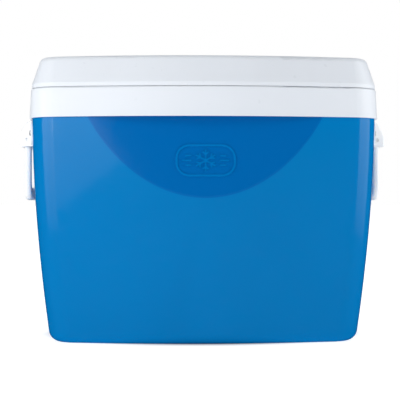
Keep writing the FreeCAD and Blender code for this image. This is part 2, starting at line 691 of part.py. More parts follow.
def top_hollows(margin):
    """Sunken panel and cup rests in the lid's top, made larger by margin."""
    grow = -LID_TOP_INSET - LID_PANEL_MARGIN + margin
    floor = LID_TOP_Z - LID_PANEL_DEPTH - margin
    hollows = [prism(BODY_HALF_WIDTH, BODY_HALF_DEPTH, floor, LID_TOP_Z + 1, grow)]
    for x in (-CUP_REST_X, CUP_REST_X):
        for y in (-CUP_REST_Y, CUP_REST_Y):
            start = V(x, y, floor - CUP_REST_DEPTH)
            hollows.append(cylinder(CUP_REST_RADIUS + margin, CUP_REST_DEPTH + 1, start, Z_AXIS))
    return hollows


def pan_ledge():
    """Ring inside the lid that the pan's flange bears on."""
    size = (BODY_HALF_WIDTH, BODY_HALF_DEPTH)
    _, low = pan_flange_z()
    inner_grow = LID_LIP_OVERHANG - LID_WALL
    ledge = prism(*size, low, low + LEDGE_HEIGHT, inner_grow + 0.5)
    return ledge.cut(prism(*size, low - 1, low + LEDGE_HEIGHT + 1, inner_grow - LEDGE_WIDTH))


def make_lid_cover():
    outside = crown(0).cut(top_hollows(0))
    inside = crown(LID_WALL).cut(top_hollows(LID_WALL))
    # The room inside is open at the lid's lower edge.
    cover = outside.cut(inside).fuse(pan_ledge())
    return cover.cut(hinge_screw_bores(leaf_screw_seats()))


def plug(extra, z_high):
    """The pan's plug made smaller by extra, from its floor up to z_high."""
    size = (BODY_HALF_WIDTH, BODY_HALF_DEPTH)
    floor = COLLAR_TOP_Z - PLUG_DEPTH + extra
    grow = -LINER_INSET - LINER_WALL - PLUG_CLEARANCE - extra
    solid = straight_loft((*size, floor, grow - PLUG_DRAFT), (*size, z_high, grow))
    return round_at(solid, floor, PLUG_FILLET - extra)


def pan_flange_z():
    """Underside and top of the pan's flange."""
    low = LID_BOTTOM_Z + PAN_RECESS
    return low, low + PAN_FLANGE


def pan_edge_grow():
    return LID_LIP_OVERHANG - LID_WALL - PAN_EDGE_CLEARANCE


def seal_ring(z_low, z_high):
    size = (BODY_HALF_WIDTH, BODY_HALF_DEPTH)
    ring = prism(*size, z_low, z_high, -SEAL_INSET)
    return ring.cut(prism(*size, z_low - 1, z_high + 1, -SEAL_INSET - SEAL_WIDTH))


def make_lid_pan():
    low, high = pan_flange_z()
    flange = prism(BODY_HALF_WIDTH, BODY_HALF_DEPTH, low, high, pan_edge_grow())
    pan = flange.fuse(plug(0, high)).cut(plug(PAN_WALL, high + 1))
    return pan.cut(seal_ring(low - 1, low + SEAL_GROOVE_DEPTH))


def make_lid_seal():
    low, _ = pan_flange_z()
    return seal_ring(COLLAR_TOP_Z + SEAL_CLEARANCE, low + SEAL_GROOVE_DEPTH)


def make_lid_insulation():
    _, flange_top = pan_flange_z()
    slab_low = flange_top + FOAM_GAP
    slab = crown(LID_WALL + FOAM_GAP).cut(top_hollows(LID_WALL + FOAM_GAP))
    slab = slab.common(block(-REACH, REACH, -REACH, REACH, slab_low, LID_TOP_Z))
    ledge_room = prism(BODY_HALF_WIDTH, BODY_HALF_DEPTH, slab_low - 1, flange_top + LEDGE_HEIGHT + FOAM_GAP, 0)
    ledge_inner = LID_LIP_OVERHANG - LID_WALL - LEDGE_WIDTH - FOAM_GAP
    kept = prism(BODY_HALF_WIDTH, BODY_HALF_DEPTH, slab_low - 2, LID_TOP_Z, ledge_inner)
    slab = slab.cut(ledge_room.cut(kept))
    return slab.fuse(plug(PAN_WALL + FOAM_GAP, slab_low + 1))


# ---------------------------------------------------------------- side handles (right side)


def handle_axis(radius, half_length):
    start = V(BODY_HALF_WIDTH + HANDLE_AXIS_OFFSET, -half_length, HANDLE_AXIS_Z)
    return cylinder(radius, 2 * half_length, start, Y_AXIS)


def rounded_block(y_half, z_low, z_high, radius, x_low, x_high):
    """Block along X whose lower corners, seen from the side, are round."""
    solid = block(x_low, x_high, -y_half, y_half, z_low, z_high)
    corners = [
        e for e in solid.Edges if abs(e.CenterOfMass.z - z_low) < 1e-3 and abs(abs(e.CenterOfMass.y) - y_half) < 1e-3
    ]
    return solid.makeFillet(radius, corners)


def make_handle():
    """Bail: two arms with eyes at their upper ends, and a thicker grip between their lower ends."""
    axis_x = BODY_HALF_WIDTH + HANDLE_AXIS_OFFSET
    half = HANDLE_WIDTH / 2
    arm_low, arm_high = axis_x - HANDLE_ARM_THICKNESS / 2, axis_x + HANDLE_ARM_THICKNESS / 2
    grip_low, grip_high = axis_x - GRIP_THICKNESS / 2, axis_x + GRIP_THICKNESS / 2
    frame = rounded_block(half, HANDLE_BOTTOM_Z, HANDLE_AXIS_Z, HANDLE_CORNER_RADIUS, arm_low, arm_high)
    gap = rounded_block(
        half - HANDLE_ARM_WIDTH,
        HANDLE_BOTTOM_Z + GRIP_HEIGHT,
        HANDLE_AXIS_Z + HANDLE_EYE_RADIUS + PAST,
        HANDLE_CORNER_RADIUS / 2,
        arm_low - PAST,
        arm_high + PAST,
    )
    frame = frame.cut(gap)
    long_edges = [e for e in frame.Edges if not all(abs(p.z - HANDLE_AXIS_Z) < 1e-3 for p in e.discretize(3))]
    frame = frame.makeFillet(HANDLE_EDGE_RADIUS, long_edges)
    grip_half = half - HANDLE_CORNER_RADIUS
    grip = block(
        grip_low, grip_high, -grip_half, grip_half, HANDLE_BOTTOM_Z, HANDLE_BOTTOM_Z + GRIP_HEIGHT
    )
    grip = grip.makeFillet(GRIP_EDGE_RADIUS, [e for e in grip.Edges if e.Length > 2 * grip_half - PAST])
    grip = grip.makeChamfer(GRIP_END_CHAMFER, [e for e in grip.Edges if abs(abs(e.CenterOfMass.y) - grip_half) < 1e-3])
    handle = frame.fuse(grip)
    for y in (-half, half - HANDLE_ARM_WIDTH):
        eye = cylinder(HANDLE_EYE_RADIUS, HANDLE_ARM_WIDTH, V(axis_x, y, HANDLE_AXIS_Z), Y_AXIS)
        handle = handle.fuse(eye)
    return handle.cut(handle_axis(HANDLE_PIN_RADIUS + PIN_RUNNING_CLEARANCE, half + PAST))


def hood_profile(inset, half_length):
    """The hood's section, drawn in by inset: a curved back that flares out to an upright lip."""
    wall = BODY_HALF_WIDTH
    low = HOOD_BOTTOM_Z if inset == 0 else HOOD_BOTTOM_Z - PAST
    high = HOOD_TOP_Z - inset
    lip = HOOD_BOTTOM_Z + HOOD_LIP_HEIGHT
    reach = wall + HOOD_REACH - inset
    top = V(wall + HOOD_TOP_REACH - inset, -half_length, high)
    elbow = V(reach, -half_length, lip)
    middle = V(wall + HOOD_BULGE_REACH - inset, -half_length, (lip + high) / 2 + HOOD_BULGE_RISE)
    inner = V(wall - HOOD_ROOT, -half_length, high)
    floor_out = V(reach - HOOD_LIP_TAPER, -half_length, low)
    floor_in = V(wall - HOOD_ROOT, -half_length, low)
    edges = [
        Part.makeLine(inner, top),
        Part.Arc(top, middle, elbow).toShape(),
        Part.makeLine(elbow, floor_out),
        Part.makeLine(floor_out, floor_in),
        Part.makeLine(floor_in, inner),
    ]
    return Part.Face(Part.Wire(edges)).extrude(V(0, 2 * half_length, 0))


def wall_solid(grow):
    """The body's outside near the bracket, moved out by grow."""
    return body_loft(HOOD_BOTTOM_Z - HOOD_HEIGHT, SHOULDER_Z, grow)


def make_bracket():
    """Plate that follows the side wall, with a hood over the handle's pivot."""
    low, high = HOOD_BOTTOM_Z + PLATE_MARGIN, HOOD_TOP_Z - PLATE_MARGIN
    half = screw_places()[1] + PLATE_END
    blank = block(BODY_HALF_WIDTH - HOOD_REACH, BODY_HALF_WIDTH + HOOD_REACH, -half, half, low, high)
    ends = [e for e in blank.Edges if abs(abs(e.CenterOfMass.y) - half) < 1e-3]
    ends = [e for e in ends if abs(e.CenterOfMass.x - BODY_HALF_WIDTH) < 1e-3]
    blank = blank.makeFillet(min((high - low) / 2 - FILLET_REST, PLATE_END), ends)
    plate = blank.common(wall_solid(BRACKET_GAP + PLATE_THICKNESS))
    length = hood_half_length()
    hood = hood_profile(0, length)
    rims = [e for e in hood.Edges if e.CenterOfMass.x > BODY_HALF_WIDTH + HOOD_TOP_REACH + FILLET_REST]
    rims = [e for e in rims if e.CenterOfMass.z > HOOD_BOTTOM_Z + FILLET_REST]
    hood = hood.makeFillet(HOOD_END_RADIUS, rims)
    arm_inner = HANDLE_WIDTH / 2 - HANDLE_ARM_WIDTH - ARM_SLOT_CLEARANCE
    hollow = hood_profile(HOOD_WALL, arm_inner - HOOD_WALL)
    hood = hood.cut(hollow.common(block(BODY_HALF_WIDTH + HOOD_HOLLOW_START, REACH, -REACH, REACH, 0, REACH)))
    slot_top = HANDLE_AXIS_Z + HANDLE_EYE_RADIUS + ARM_SLOT_TOP_CLEARANCE
    slot_in = BODY_HALF_WIDTH + HANDLE_AXIS_OFFSET - HANDLE_EYE_RADIUS - ARM_SLOT_CLEARANCE
    for side in (-1, 1):
        inner, outer = side * arm_inner, side * (HANDLE_WIDTH / 2 + ARM_SLOT_CLEARANCE)
        slot = block(slot_in, REACH, min(inner, outer), max(inner, outer), HOOD_BOTTOM_Z - PAST, slot_top)
        hood = hood.cut(slot)
        plate = plate.cut(slot)
    bracket = plate.fuse(hood).cut(wall_solid(BRACKET_GAP))
    bracket = bracket.cut(handle_axis(HANDLE_PIN_RADIUS + PIN_RUNNING_CLEARANCE, length + PAST))
    for y in screw_places():
        seat = V(screw_seat_x(), y, screw_height())
        bracket = bracket.cut(cylinder(SCREW_HEAD_RADIUS + SCREW_SEAT_MARGIN, REACH, seat, X_AXIS))
        hole = cylinder(SCREW_RADIUS + SCREW_HOLE_CLEARANCE, HOOD_REACH, seat, V(-1, 0, 0))
        bracket = bracket.cut(hole)
    return bracket


def make_handle_pin():
    half = hood_half_length() - HANDLE_PIN_INSET
    rod = handle_axis(HANDLE_PIN_RADIUS, half)
    return rod.makeChamfer(HANDLE_PIN_CHAMFER, [e for e in rod.Edges if abs(abs(e.CenterOfMass.y) - half) < 1e-3])


def make_screw(seat, outward, radius, head_radius, head_height, length):
    """Pan-head screw with a cross recess and a tapered point, its head standing outward from the seat."""
    head = cylinder(head_radius, head_height, V(0, 0, 0), Z_AXIS)
    head = head.makeFillet(head_height * 0.55, [e for e in head.Edges if abs(e.CenterOfMass.z - head_height) < 1e-3])
    shank_length = length - 2 * radius
    shank = cylinder(radius, shank_length, V(0, 0, 0), -Z_AXIS)
    tip = Part.makeCone(radius, radius * 0.2, 2 * radius, V(0, 0, -shank_length), -Z_AXIS)
    screw = head.fuse([shank, tip]).removeSplitter()
    arm, slit = head_radius * 0.55, head_radius * 0.13
    for half_x, half_y in ((arm, slit), (slit, arm)):
        screw = screw.cut(block(-half_x, half_x, -half_y, half_y, head_height * 0.45, head_height + 1))
    screw.Placement = FreeCAD.Placement(seat, FreeCAD.Rotation(Z_AXIS, outward))
    return screw


def make_bracket_screws():
    seats = [V(screw_seat_x(), y, screw_height()) for y in screw_places()]
    sizes = (SCREW_RADIUS, SCREW_HEAD_RADIUS, SCREW_HEAD_HEIGHT, SCREW_LENGTH)
    return [make_screw(seat, X_AXIS, *sizes) for seat in seats]


def make_hinge_screws(seats):
    length = HINGE_PLATE - HINGE_SCREW_SINK + HINGE_SCREW_PAST_PLATE
    sizes = (HINGE_SCREW_RADIUS, HINGE_SCREW_HEAD_RADIUS, HINGE_SCREW_HEAD_HEIGHT, length)
    right = [make_screw(seat, Y_AXIS, *sizes) for seat in seats]
    return right + [mirrored(screw) for screw in right]


# ---------------------------------------------------------------- output


def build_parts():
    """Every node of the chest by name, each a solid or a list of separate solids."""
    bracket, handle, handle_pin = make_bracket(), make_handle(), make_handle_pin()
    hinge_base, hinge_leaf, hinge_pin = make_hinge_base(), make_hinge_leaf(), make_hinge_pin()
    screws = make_bracket_screws()
    return {
        "outer_shell": [make_outer_shell()],
        "body_insulation": [make_body_insulation()],
        "inner_liner": [make_inner_liner()],
        "rim_collar": [make_rim_collar()],
        "lid_cover": [make_lid_cover()],
        "lid_insulation": [make_lid_insulation()],
        "lid_pan": [make_lid_pan()],
        "lid_seal": [make_lid_seal()],
        "hinge_base_right": [hinge_base],
        "hinge_base_left": [mirrored(hinge_base)],
        "hinge_leaf_right": [hinge_leaf],
        "hinge_leaf_left": [mirrored(hinge_leaf)],
        "hinge_base_screws": make_hinge_screws(base_screw_seats()),
        "hinge_leaf_screws": make_hinge_screws(leaf_screw_seats()),
        "hinge_pin_right": [hinge_pin],
        "hinge_pin_left": [mirrored(hinge_pin)],
        "handle_bracket_right": [bracket],
        "handle_bracket_left": [mirrored(bracket)],
        "handle_pin_right": [handle_pin],
        "handle_pin_left": [mirrored(handle_pin)],
        "handle_right": [handle],
        "handle_left": [mirrored(handle)],
        "bracket_screws_right": screws,
        "bracket_screws_left": [mirrored(s) for s in screws],
    }


def main():
    os.makedirs("parts", exist_ok=True)
    for name, shapes in build_parts().items():
        solids = [solid for shape in shapes for solid in shape.Solids]
        whole = solids[0] if len(solids) == 1 else Part.makeCompound(solids)
        whole.exportStep(f"parts/{name}.step")
        size = whole.BoundBox
        print(
            f"{name}: {len(solids)} solids, valid {whole.isValid()}, {whole.Volume / 1000:.1f} cm3, "
            f"z {size.ZMin:.1f} to {size.ZMax:.1f}"
        )


main()
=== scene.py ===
"""Cooler chest: finishes, moulded details, studio and camera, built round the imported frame.

Every length is in metres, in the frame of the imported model: the origin is the centre of the base, +X is
to the right, -Y is the front and +Z is up.
"""

from __future__ import annotations

import json
import logging
import math
from dataclasses import dataclass, field
from enum import Enum

import bmesh
import bpy
from mathutils import Matrix, Vector
from mathutils.bvhtree import BVHTree

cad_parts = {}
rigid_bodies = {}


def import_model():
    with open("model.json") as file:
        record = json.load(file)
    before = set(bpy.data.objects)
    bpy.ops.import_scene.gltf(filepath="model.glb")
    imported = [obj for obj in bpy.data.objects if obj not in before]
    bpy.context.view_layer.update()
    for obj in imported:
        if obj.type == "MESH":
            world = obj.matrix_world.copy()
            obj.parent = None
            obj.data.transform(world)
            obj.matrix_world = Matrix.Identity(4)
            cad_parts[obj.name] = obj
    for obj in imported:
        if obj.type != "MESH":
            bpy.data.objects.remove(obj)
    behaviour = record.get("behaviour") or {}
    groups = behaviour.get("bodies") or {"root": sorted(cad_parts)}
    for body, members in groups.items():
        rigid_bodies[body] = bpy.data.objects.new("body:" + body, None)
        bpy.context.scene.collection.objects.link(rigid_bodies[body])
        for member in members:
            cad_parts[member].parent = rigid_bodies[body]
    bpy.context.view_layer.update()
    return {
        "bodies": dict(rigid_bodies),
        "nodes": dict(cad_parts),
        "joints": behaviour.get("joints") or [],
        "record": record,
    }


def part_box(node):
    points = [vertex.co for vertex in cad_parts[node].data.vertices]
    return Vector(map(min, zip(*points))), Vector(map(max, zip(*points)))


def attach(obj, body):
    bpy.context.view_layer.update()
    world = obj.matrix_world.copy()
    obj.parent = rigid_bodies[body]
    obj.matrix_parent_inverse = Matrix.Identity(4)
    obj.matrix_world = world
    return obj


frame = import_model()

LOG = logging.getLogger("cooler_chest")
MM = 0.001

# The flat front panel: how proud its emblem stands, how far its top is set back from the shell's
# front, how it leans, and where its plane lies at the collar's foot and at the floor.
EMBLEM_RELIEF = 1.0 * MM
PANEL_DEPTH = 13.4 * MM
PANEL_SLOPE = math.tan(math.radians(5.4))
PANEL_TOP_Y = PANEL_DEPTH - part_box("outer_shell")[1][1]
PANEL_Y_AT_FLOOR = PANEL_TOP_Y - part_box("rim_collar")[0][2] * PANEL_SLOPE

UP = Vector((0.0, 0.0, 1.0))

Colour = tuple[float, float, float]
Place = tuple[float, float, float]


class Side(Enum):
    """The two ends of the chest, by the sign of X."""

    RIGHT = 1
    LEFT = -1

    @property
    def word(self) -> str:
        """The side's name as the nodes spell it."""
        return self.name.lower()


class NodeSheet:
    """One material's node tree, with short calls for the nodes that the finishes share.

    A Mix node's colour sockets have the same names as its number sockets, so they go by their indices.
    """

    MIX_FIRST = 6
    MIX_SECOND = 7
    MIX_RESULT = 2

    def __init__(self, name: str) -> None:
        """Make an empty material.

        Args:
            name: the material's name.
        """
        self.material = bpy.data.materials.new(name)
        self.material.use_nodes = True
        self.tree = self.material.node_tree
        self.tree.nodes.clear()
        self.output = self.tree.nodes.new("ShaderNodeOutputMaterial")
        coordinates = self.tree.nodes.new("ShaderNodeTexCoord")
        self.place = coordinates.outputs["Object"]

    def link(self, start: bpy.types.NodeSocket, end: bpy.types.NodeSocket) -> None:
        """Join an output socket to an input socket."""
        self.tree.links.new(start, end)

    def stretched(self, scale: tuple[float, float, float], turn: float = 0.0) -> bpy.types.NodeSocket:
        """Object coordinates scaled by axis, for streaks.

        Args:
            scale: factors along X, Y and Z.
            turn: rotation about Y, in radians.

        Returns:
            The mapped coordinates.
        """
        node = self.tree.nodes.new("ShaderNodeMapping")
        node.inputs["Scale"].default_value = scale
        node.inputs["Rotation"].default_value = (0.0, turn, 0.0)
        self.link(self.place, node.inputs["Vector"])
        return node.outputs["Vector"]

    def noise(
        self,
        size: float,
        detail: float = 3.0,
        rough: float = 0.5,
        at: bpy.types.NodeSocket | None = None,
    ) -> bpy.types.NodeSocket:
        """Cloudy noise.

        Args:
            size: width of one cloud, in metres.
            detail: octaves.
            rough: strength of the finer octaves.
            at: coordinates, or the object's own.

        Returns:
            The noise value, around 0.5.
        """
        node = self.tree.nodes.new("ShaderNodeTexNoise")
        node.inputs["Scale"].default_value = 1.0 / size
        node.inputs["Detail"].default_value = detail
        node.inputs["Roughness"].default_value = rough
        self.link(at or self.place, node.inputs["Vector"])
        return node.outputs["Fac"]

    def cells(self, size: float) -> bpy.types.NodeSocket:
        """Rounded cells, as in a spark-eroded mould grain.

        Args:
            size: width of one cell, in metres.

        Returns:
            The distance from the middle of each cell.
        """
        node = self.tree.nodes.new("ShaderNodeTexVoronoi")
        node.feature = "SMOOTH_F1"
        node.inputs["Scale"].default_value = 1.0 / size
        self.link(self.place, node.inputs["Vector"])
        return node.outputs["Distance"]

    def spread(
        self, value: bpy.types.NodeSocket, low: float, high: float, out_low: float, out_high: float
    ) -> bpy.types.NodeSocket:
        """Map a range of a value to another range, and clamp it.

        Args:
            value: the value to map.
            low: value that gives out_low.
            high: value that gives out_high.
            out_low: result at low.
            out_high: result at high.

        Returns:
            The mapped value.
        """
        node = self.tree.nodes.new("ShaderNodeMapRange")
        node.inputs["From Min"].default_value = low
        node.inputs["From Max"].default_value = high
        node.inputs["To Min"].default_value = out_low
        node.inputs["To Max"].default_value = out_high
        self.link(value, node.inputs["Value"])
        return node.outputs["Result"]

    def maths(
        self,
        operation: str,
        first: bpy.types.NodeSocket,
        second: bpy.types.NodeSocket | float,
    ) -> bpy.types.NodeSocket:
        """One step of arithmetic.

        Args:
            operation: the Math node's operation.
            first: first value.
            second: second value, a socket or a number.

        Returns:
            The result.
        """
        node = self.tree.nodes.new("ShaderNodeMath")
        node.operation = operation
        self.link(first, node.inputs[0])
        if isinstance(second, float):
            node.inputs[1].default_value = second
        else:
            self.link(second, node.inputs[1])
        return node.outputs[0]

    def mixed(
        self,
        share: bpy.types.NodeSocket,
        first: Colour | bpy.types.NodeSocket,
        second: Colour,
    ) -> bpy.types.NodeSocket:
        """Blend of two colours.

        Args:
            share: share of the second colour.
            first: colour or colour socket at 0.
            second: colour at 1.

        Returns:
            The blended colour.
        """
        node = self.tree.nodes.new("ShaderNodeMix")
        node.data_type = "RGBA"
        self.link(share, node.inputs["Factor"])
        start = node.inputs[self.MIX_FIRST]
        if isinstance(first, tuple):
            start.default_value = (*first, 1.0)
        else:
            self.link(first, start)
        node.inputs[self.MIX_SECOND].default_value = (*second, 1.0)
        return node.outputs[self.MIX_RESULT]

    def bump(
        self,
        height: bpy.types.NodeSocket,
        depth: float,
        below: bpy.types.NodeSocket | None = None,
    ) -> bpy.types.NodeSocket:
        """Surface relief.

        Args:
            height: height from 0 to 1.
            depth: height of 1, in metres.
            below: the normal of coarser relief, if there is any.

        Returns:
            The bent normal.
        """
        node = self.tree.nodes.new("ShaderNodeBump")
        node.inputs["Strength"].default_value = 1.0
        node.inputs["Distance"].default_value = depth
        self.link(height, node.inputs["Height"])
        if below is not None:
            self.link(below, node.inputs["Normal"])
        return node.outputs["Normal"]

    def surface(self, constants: dict[str, float | tuple[float, ...]]) -> bpy.types.Node:
        """The surface shader, joined to the output.

        Args:
            constants: socket names and their fixed values.

        Returns:
            The shader node.
        """
        shader = self.tree.nodes.new("ShaderNodeBsdfPrincipled")
        for name, value in constants.items():
            shader.inputs[name].default_value = value
        self.link(shader.outputs["BSDF"], self.output.inputs["Surface"])
        return shader


@dataclass(frozen=True)
class MouldedPlastic:
    """Injection-moulded plastic: a satin skin with mould grain, faint flow clouds and light rubbing."""

    slot: str
    base: Colour
    cloud: Colour
    rubbed: Colour
    roughness: float = 0.34
    roughness_spread: float = 0.05
    specular: float = 0.5
    ior: float = 1.49
    grain_size: float = 0.7 * MM
    grain_depth: float = 0.02 * MM
    ripple_size: float = 55.0 * MM
    ripple_depth: float = 0.25 * MM
    cloud_size: float = 90.0 * MM
    cloud_share: float = 0.35
    fine_cloud_size: float = 9.0 * MM
    scuff_share: float = 0.25
    scuff_dulling: float = 0.3
    scuff_top: float = 0.0
    scuff_patch: float = 45.0 * MM
    streak_scale: tuple[float, float, float] = (60.0, 60.0, 900.0)
    streak_turn: float = 0.35
    crossing_scale: tuple[float, float, float] = (50.0, 70.0, 1100.0)
    crossing_turn: float = -0.6
    subsurface: float = 0.0
    subsurface_depth: float = 2.0 * MM
    scatter: Colour = (1.0, 0.9, 0.8)
    # Painted shade: a darker blue for the leaning front panel, and a less dark blue for the emblem raised
    # on it.
    panel_painted_shade: Colour | None = None
    emblem_painted_shade: Colour | None = None

    def make(self) -> bpy.types.Material:
        """Build the material.

        Returns:
            The finished material.
        """
        sheet = NodeSheet("finish_" + self.slot)
        clouds = sheet.noise(self.cloud_size, detail=4.0)
        fine_clouds = sheet.noise(self.fine_cloud_size, detail=5.0, rough=0.6)
        cloud_share = sheet.spread(clouds, 0.35, 0.65, 0.0, self.cloud_share)
        colour = sheet.mixed(cloud_share, self.base, self.cloud)
        scuffs = self._scuffs(sheet)
        colour = sheet.mixed(scuffs, colour, self.rubbed)
        # Painted shade: the front panel is coloured a darker blue, and its raised emblem a less dark one.
        if self.panel_painted_shade is not None and self.emblem_painted_shade is not None:
            panel_shade_share, emblem_painted_shade = self._painted_shade_shares(sheet)
            colour = sheet.mixed(panel_shade_share, colour, self.panel_painted_shade)
            colour = sheet.mixed(emblem_painted_shade, colour, self.emblem_painted_shade)
        shader = sheet.surface(
            {
                "IOR": self.ior,
                "Specular IOR Level": self.specular,
                "Subsurface Weight": self.subsurface,
                "Subsurface Scale": self.subsurface_depth,
                "Subsurface Radius": self.scatter,
            }
        )
        sheet.link(colour, shader.inputs["Base Color"])
        glossiest = self.roughness - self.roughness_spread
        dullest = self.roughness + self.roughness_spread
        satin = sheet.spread(fine_clouds, 0.3, 0.7, glossiest, dullest)
        dulled = sheet.maths("ADD", satin, sheet.maths("MULTIPLY", scuffs, self.scuff_dulling))
        sheet.link(dulled, shader.inputs["Roughness"])
        ripple = sheet.bump(sheet.noise(self.ripple_size, detail=1.0), self.ripple_depth)
        grain = sheet.bump(sheet.cells(self.grain_size), self.grain_depth, below=ripple)
        sheet.link(grain, shader.inputs["Normal"])
        return sheet.material

    def _painted_shade_shares(self, sheet: NodeSheet) -> tuple[bpy.types.NodeSocket, bpy.types.NodeSocket]:
        """Shares of the leaning front panel, which is coloured a darker blue as painted shade, and of the
        emblem raised on it, which gets a lighter painted shade.

        Args:
            sheet: the material being built.

        Returns:
            A share that is 1 on the panel's face, and one that is 1 on the raised emblem.
        """
        axes = sheet.tree.nodes.new("ShaderNodeSeparateXYZ")
        sheet.link(sheet.place, axes.inputs["Vector"])
        lean = sheet.maths("MULTIPLY", axes.outputs["Z"], PANEL_SLOPE)
        plane = sheet.maths("ADD", lean, PANEL_Y_AT_FLOOR)
        out = sheet.maths("SUBTRACT", plane, axes.outputs["Y"])
        sunk = sheet.spread(out, -0.5 * EMBLEM_RELIEF, -0.3 * EMBLEM_RELIEF, 0.0, 1.0)
        level = sheet.spread(out, 0.25 * EMBLEM_RELIEF, 0.45 * EMBLEM_RELIEF, 1.0, 0.0)
        risen = sheet.spread(out, 0.45 * EMBLEM_RELIEF, 0.9 * EMBLEM_RELIEF, 0.0, 1.0)
        capped = sheet.spread(out, 1.1 * EMBLEM_RELIEF, 1.6 * EMBLEM_RELIEF, 1.0, 0.0)
        return sheet.maths("MULTIPLY", sunk, level), sheet.maths("MULTIPLY", risen, capped)

    def _scuffs(self, sheet: NodeSheet) -> bpy.types.NodeSocket:
        """Share of rubbed plastic: fine short streaks, more of them low down.

        Args:
            sheet: the material being built.

        Returns:
            The share, from 0 to scuff_share.
        """
        one_way = sheet.stretched(self.streak_scale, turn=self.streak_turn)
        other_way = sheet.stretched(self.crossing_scale, turn=self.crossing_turn)
        streaks = sheet.noise(1.0, detail=3.0, rough=0.55, at=one_way)
        crossing = sheet.noise(1.0, detail=3.0, rough=0.55, at=other_way)
        patches = sheet.noise(self.scuff_patch, detail=2.0)
        thin = sheet.spread(sheet.maths("MULTIPLY", streaks, crossing), 0.36, 0.46, 0.0, 1.0)
        worn = sheet.maths("MULTIPLY", thin, sheet.spread(patches, 0.5, 0.72, 0.0, self.scuff_share))
        if self.scuff_top <= 0.0:
            return worn
        heights = sheet.tree.nodes.new("ShaderNodeSeparateXYZ")
        sheet.link(sheet.place, heights.inputs["Vector"])
        low_down = sheet.spread(heights.outputs["Z"], 0.0, self.scuff_top, 1.6, 0.35)
        return sheet.maths("MULTIPLY", worn, low_down)


@dataclass(frozen=True)
class ClosedCellFoam:
    """Cream foam with fine open-looking cells."""

    slot: str = "foam"
    base: Colour = (0.78, 0.70, 0.50)
    pore: Colour = (0.60, 0.52, 0.34)
    roughness: float = 0.92
    ior: float = 1.4
    cell_size: float = 1.6 * MM
    cell_depth: float = 0.25 * MM

    def make(self) -> bpy.types.Material:
        """Build the material.

        Returns:
            The finished material.
        """
        sheet = NodeSheet("finish_" + self.slot)
        cells = sheet.cells(self.cell_size)
        shader = sheet.surface({"Roughness": self.roughness, "IOR": self.ior})
        share = sheet.spread(cells, 0.2, 0.7, 1.0, 0.0)
        sheet.link(sheet.mixed(share, self.base, self.pore), shader.inputs["Base Color"])
        sheet.link(sheet.bump(cells, self.cell_depth), shader.inputs["Normal"])
        return sheet.material


@dataclass(frozen=True)
class PlatedSteel:
    """Zinc-plated steel, lightly brushed, with dull spots."""

    slot: str = "steel"
    base: Colour = (0.56, 0.57, 0.59)
    dull: Colour = (0.36, 0.36, 0.37)
    roughness: float = 0.26
    dull_roughness: float = 0.5
    spot_size: float = 1.2 * MM
    brush_scale: tuple[float, float, float] = (3000.0, 300.0, 3000.0)
    brush_depth: float = 0.01 * MM

    def make(self) -> bpy.types.Material:
        """Build the material.

        Returns:
            The finished material.
        """
        sheet = NodeSheet("finish_" + self.slot)
        spots = sheet.noise(self.spot_size, detail=4.0, rough=0.65)
        brushed = sheet.noise(1.0, detail=2.0, at=sheet.stretched(self.brush_scale))
        shader = sheet.surface({"Metallic": 1.0})
        colour = sheet.mixed(sheet.spread(spots, 0.5, 0.7, 0.0, 0.7), self.base, self.dull)
        sheet.link(colour, shader.inputs["Base Color"])
        satin = sheet.spread(spots, 0.35, 0.7, self.roughness, self.dull_roughness)
        sheet.link(satin, shader.inputs["Roughness"])
        sheet.link(sheet.bump(brushed, self.brush_depth), shader.inputs["Normal"])
        return sheet.material


@dataclass(frozen=True)
class SoftRubber:
    """Matt grey elastomer with a dusty bloom."""

    slot: str = "seal_grey"
    base: Colour = (0.30, 0.31, 0.33)
    bloom: Colour = (0.42, 0.43, 0.44)
    roughness: float = 0.6
    bloom_roughness: float = 0.8
    ior: float = 1.52
    bloom_size: float = 6.0 * MM
    grain_size: float = 0.4 * MM
    grain_depth: float = 0.02 * MM

    def make(self) -> bpy.types.Material:
        """Build the material.

        Returns:
            The finished material.
        """
        sheet = NodeSheet("finish_" + self.slot)
        bloom = sheet.noise(self.bloom_size, detail=5.0, rough=0.65)
        shader = sheet.surface({"IOR": self.ior})
        colour = sheet.mixed(sheet.spread(bloom, 0.4, 0.7, 0.0, 0.6), self.base, self.bloom)
        sheet.link(colour, shader.inputs["Base Color"])
        matt = sheet.spread(bloom, 0.3, 0.7, self.roughness, self.bloom_roughness)
        sheet.link(matt, shader.inputs["Roughness"])
        grain = sheet.bump(sheet.cells(self.grain_size), self.grain_depth)
        sheet.link(grain, shader.inputs["Normal"])
        return sheet.material


SHELL_BLUE = MouldedPlastic(
    slot="shell_blue",
    base=(0.0, 0.180, 0.485),
    cloud=(0.0, 0.192, 0.510),
    rubbed=(0.02, 0.20, 0.52),
    roughness=0.11,
    roughness_spread=0.03,
    specular=0.5,
    grain_size=0.8 * MM,
    grain_depth=0.002 * MM,
    ripple_depth=0.04 * MM,
    scuff_share=0.30,
    scuff_top=0.10,
    # Painted shade on the front panel, and a lighter painted shade on its emblem.
    panel_painted_shade=(0.0, 0.129, 0.425),
    emblem_painted_shade=(0.0, 0.165, 0.480),
)
TRIM_WHITE = MouldedPlastic(
    slot="trim_white",
    base=(0.755, 0.793, 0.848),
    cloud=(0.74, 0.78, 0.835),
    rubbed=(0.86, 0.88, 0.90),
    roughness=0.32,
    grain_depth=0.008 * MM,
    ripple_depth=0.08 * MM,
    subsurface=0.08,
)
# Painted light: the handles are a brighter white than the trim, so that they look washed out as under
# strong light.
HANDLE_WHITE_PAINTED_LIGHT = MouldedPlastic(
    slot="handle_white",
    base=(0.93, 0.955, 0.985),
    cloud=(0.91, 0.94, 0.975),
    rubbed=(0.88, 0.90, 0.92),
    roughness=0.30,
    grain_depth=0.008 * MM,
    ripple_size=20.0 * MM,
    ripple_depth=0.05 * MM,
    subsurface=0.7,
    subsurface_depth=9.0 * MM,
)
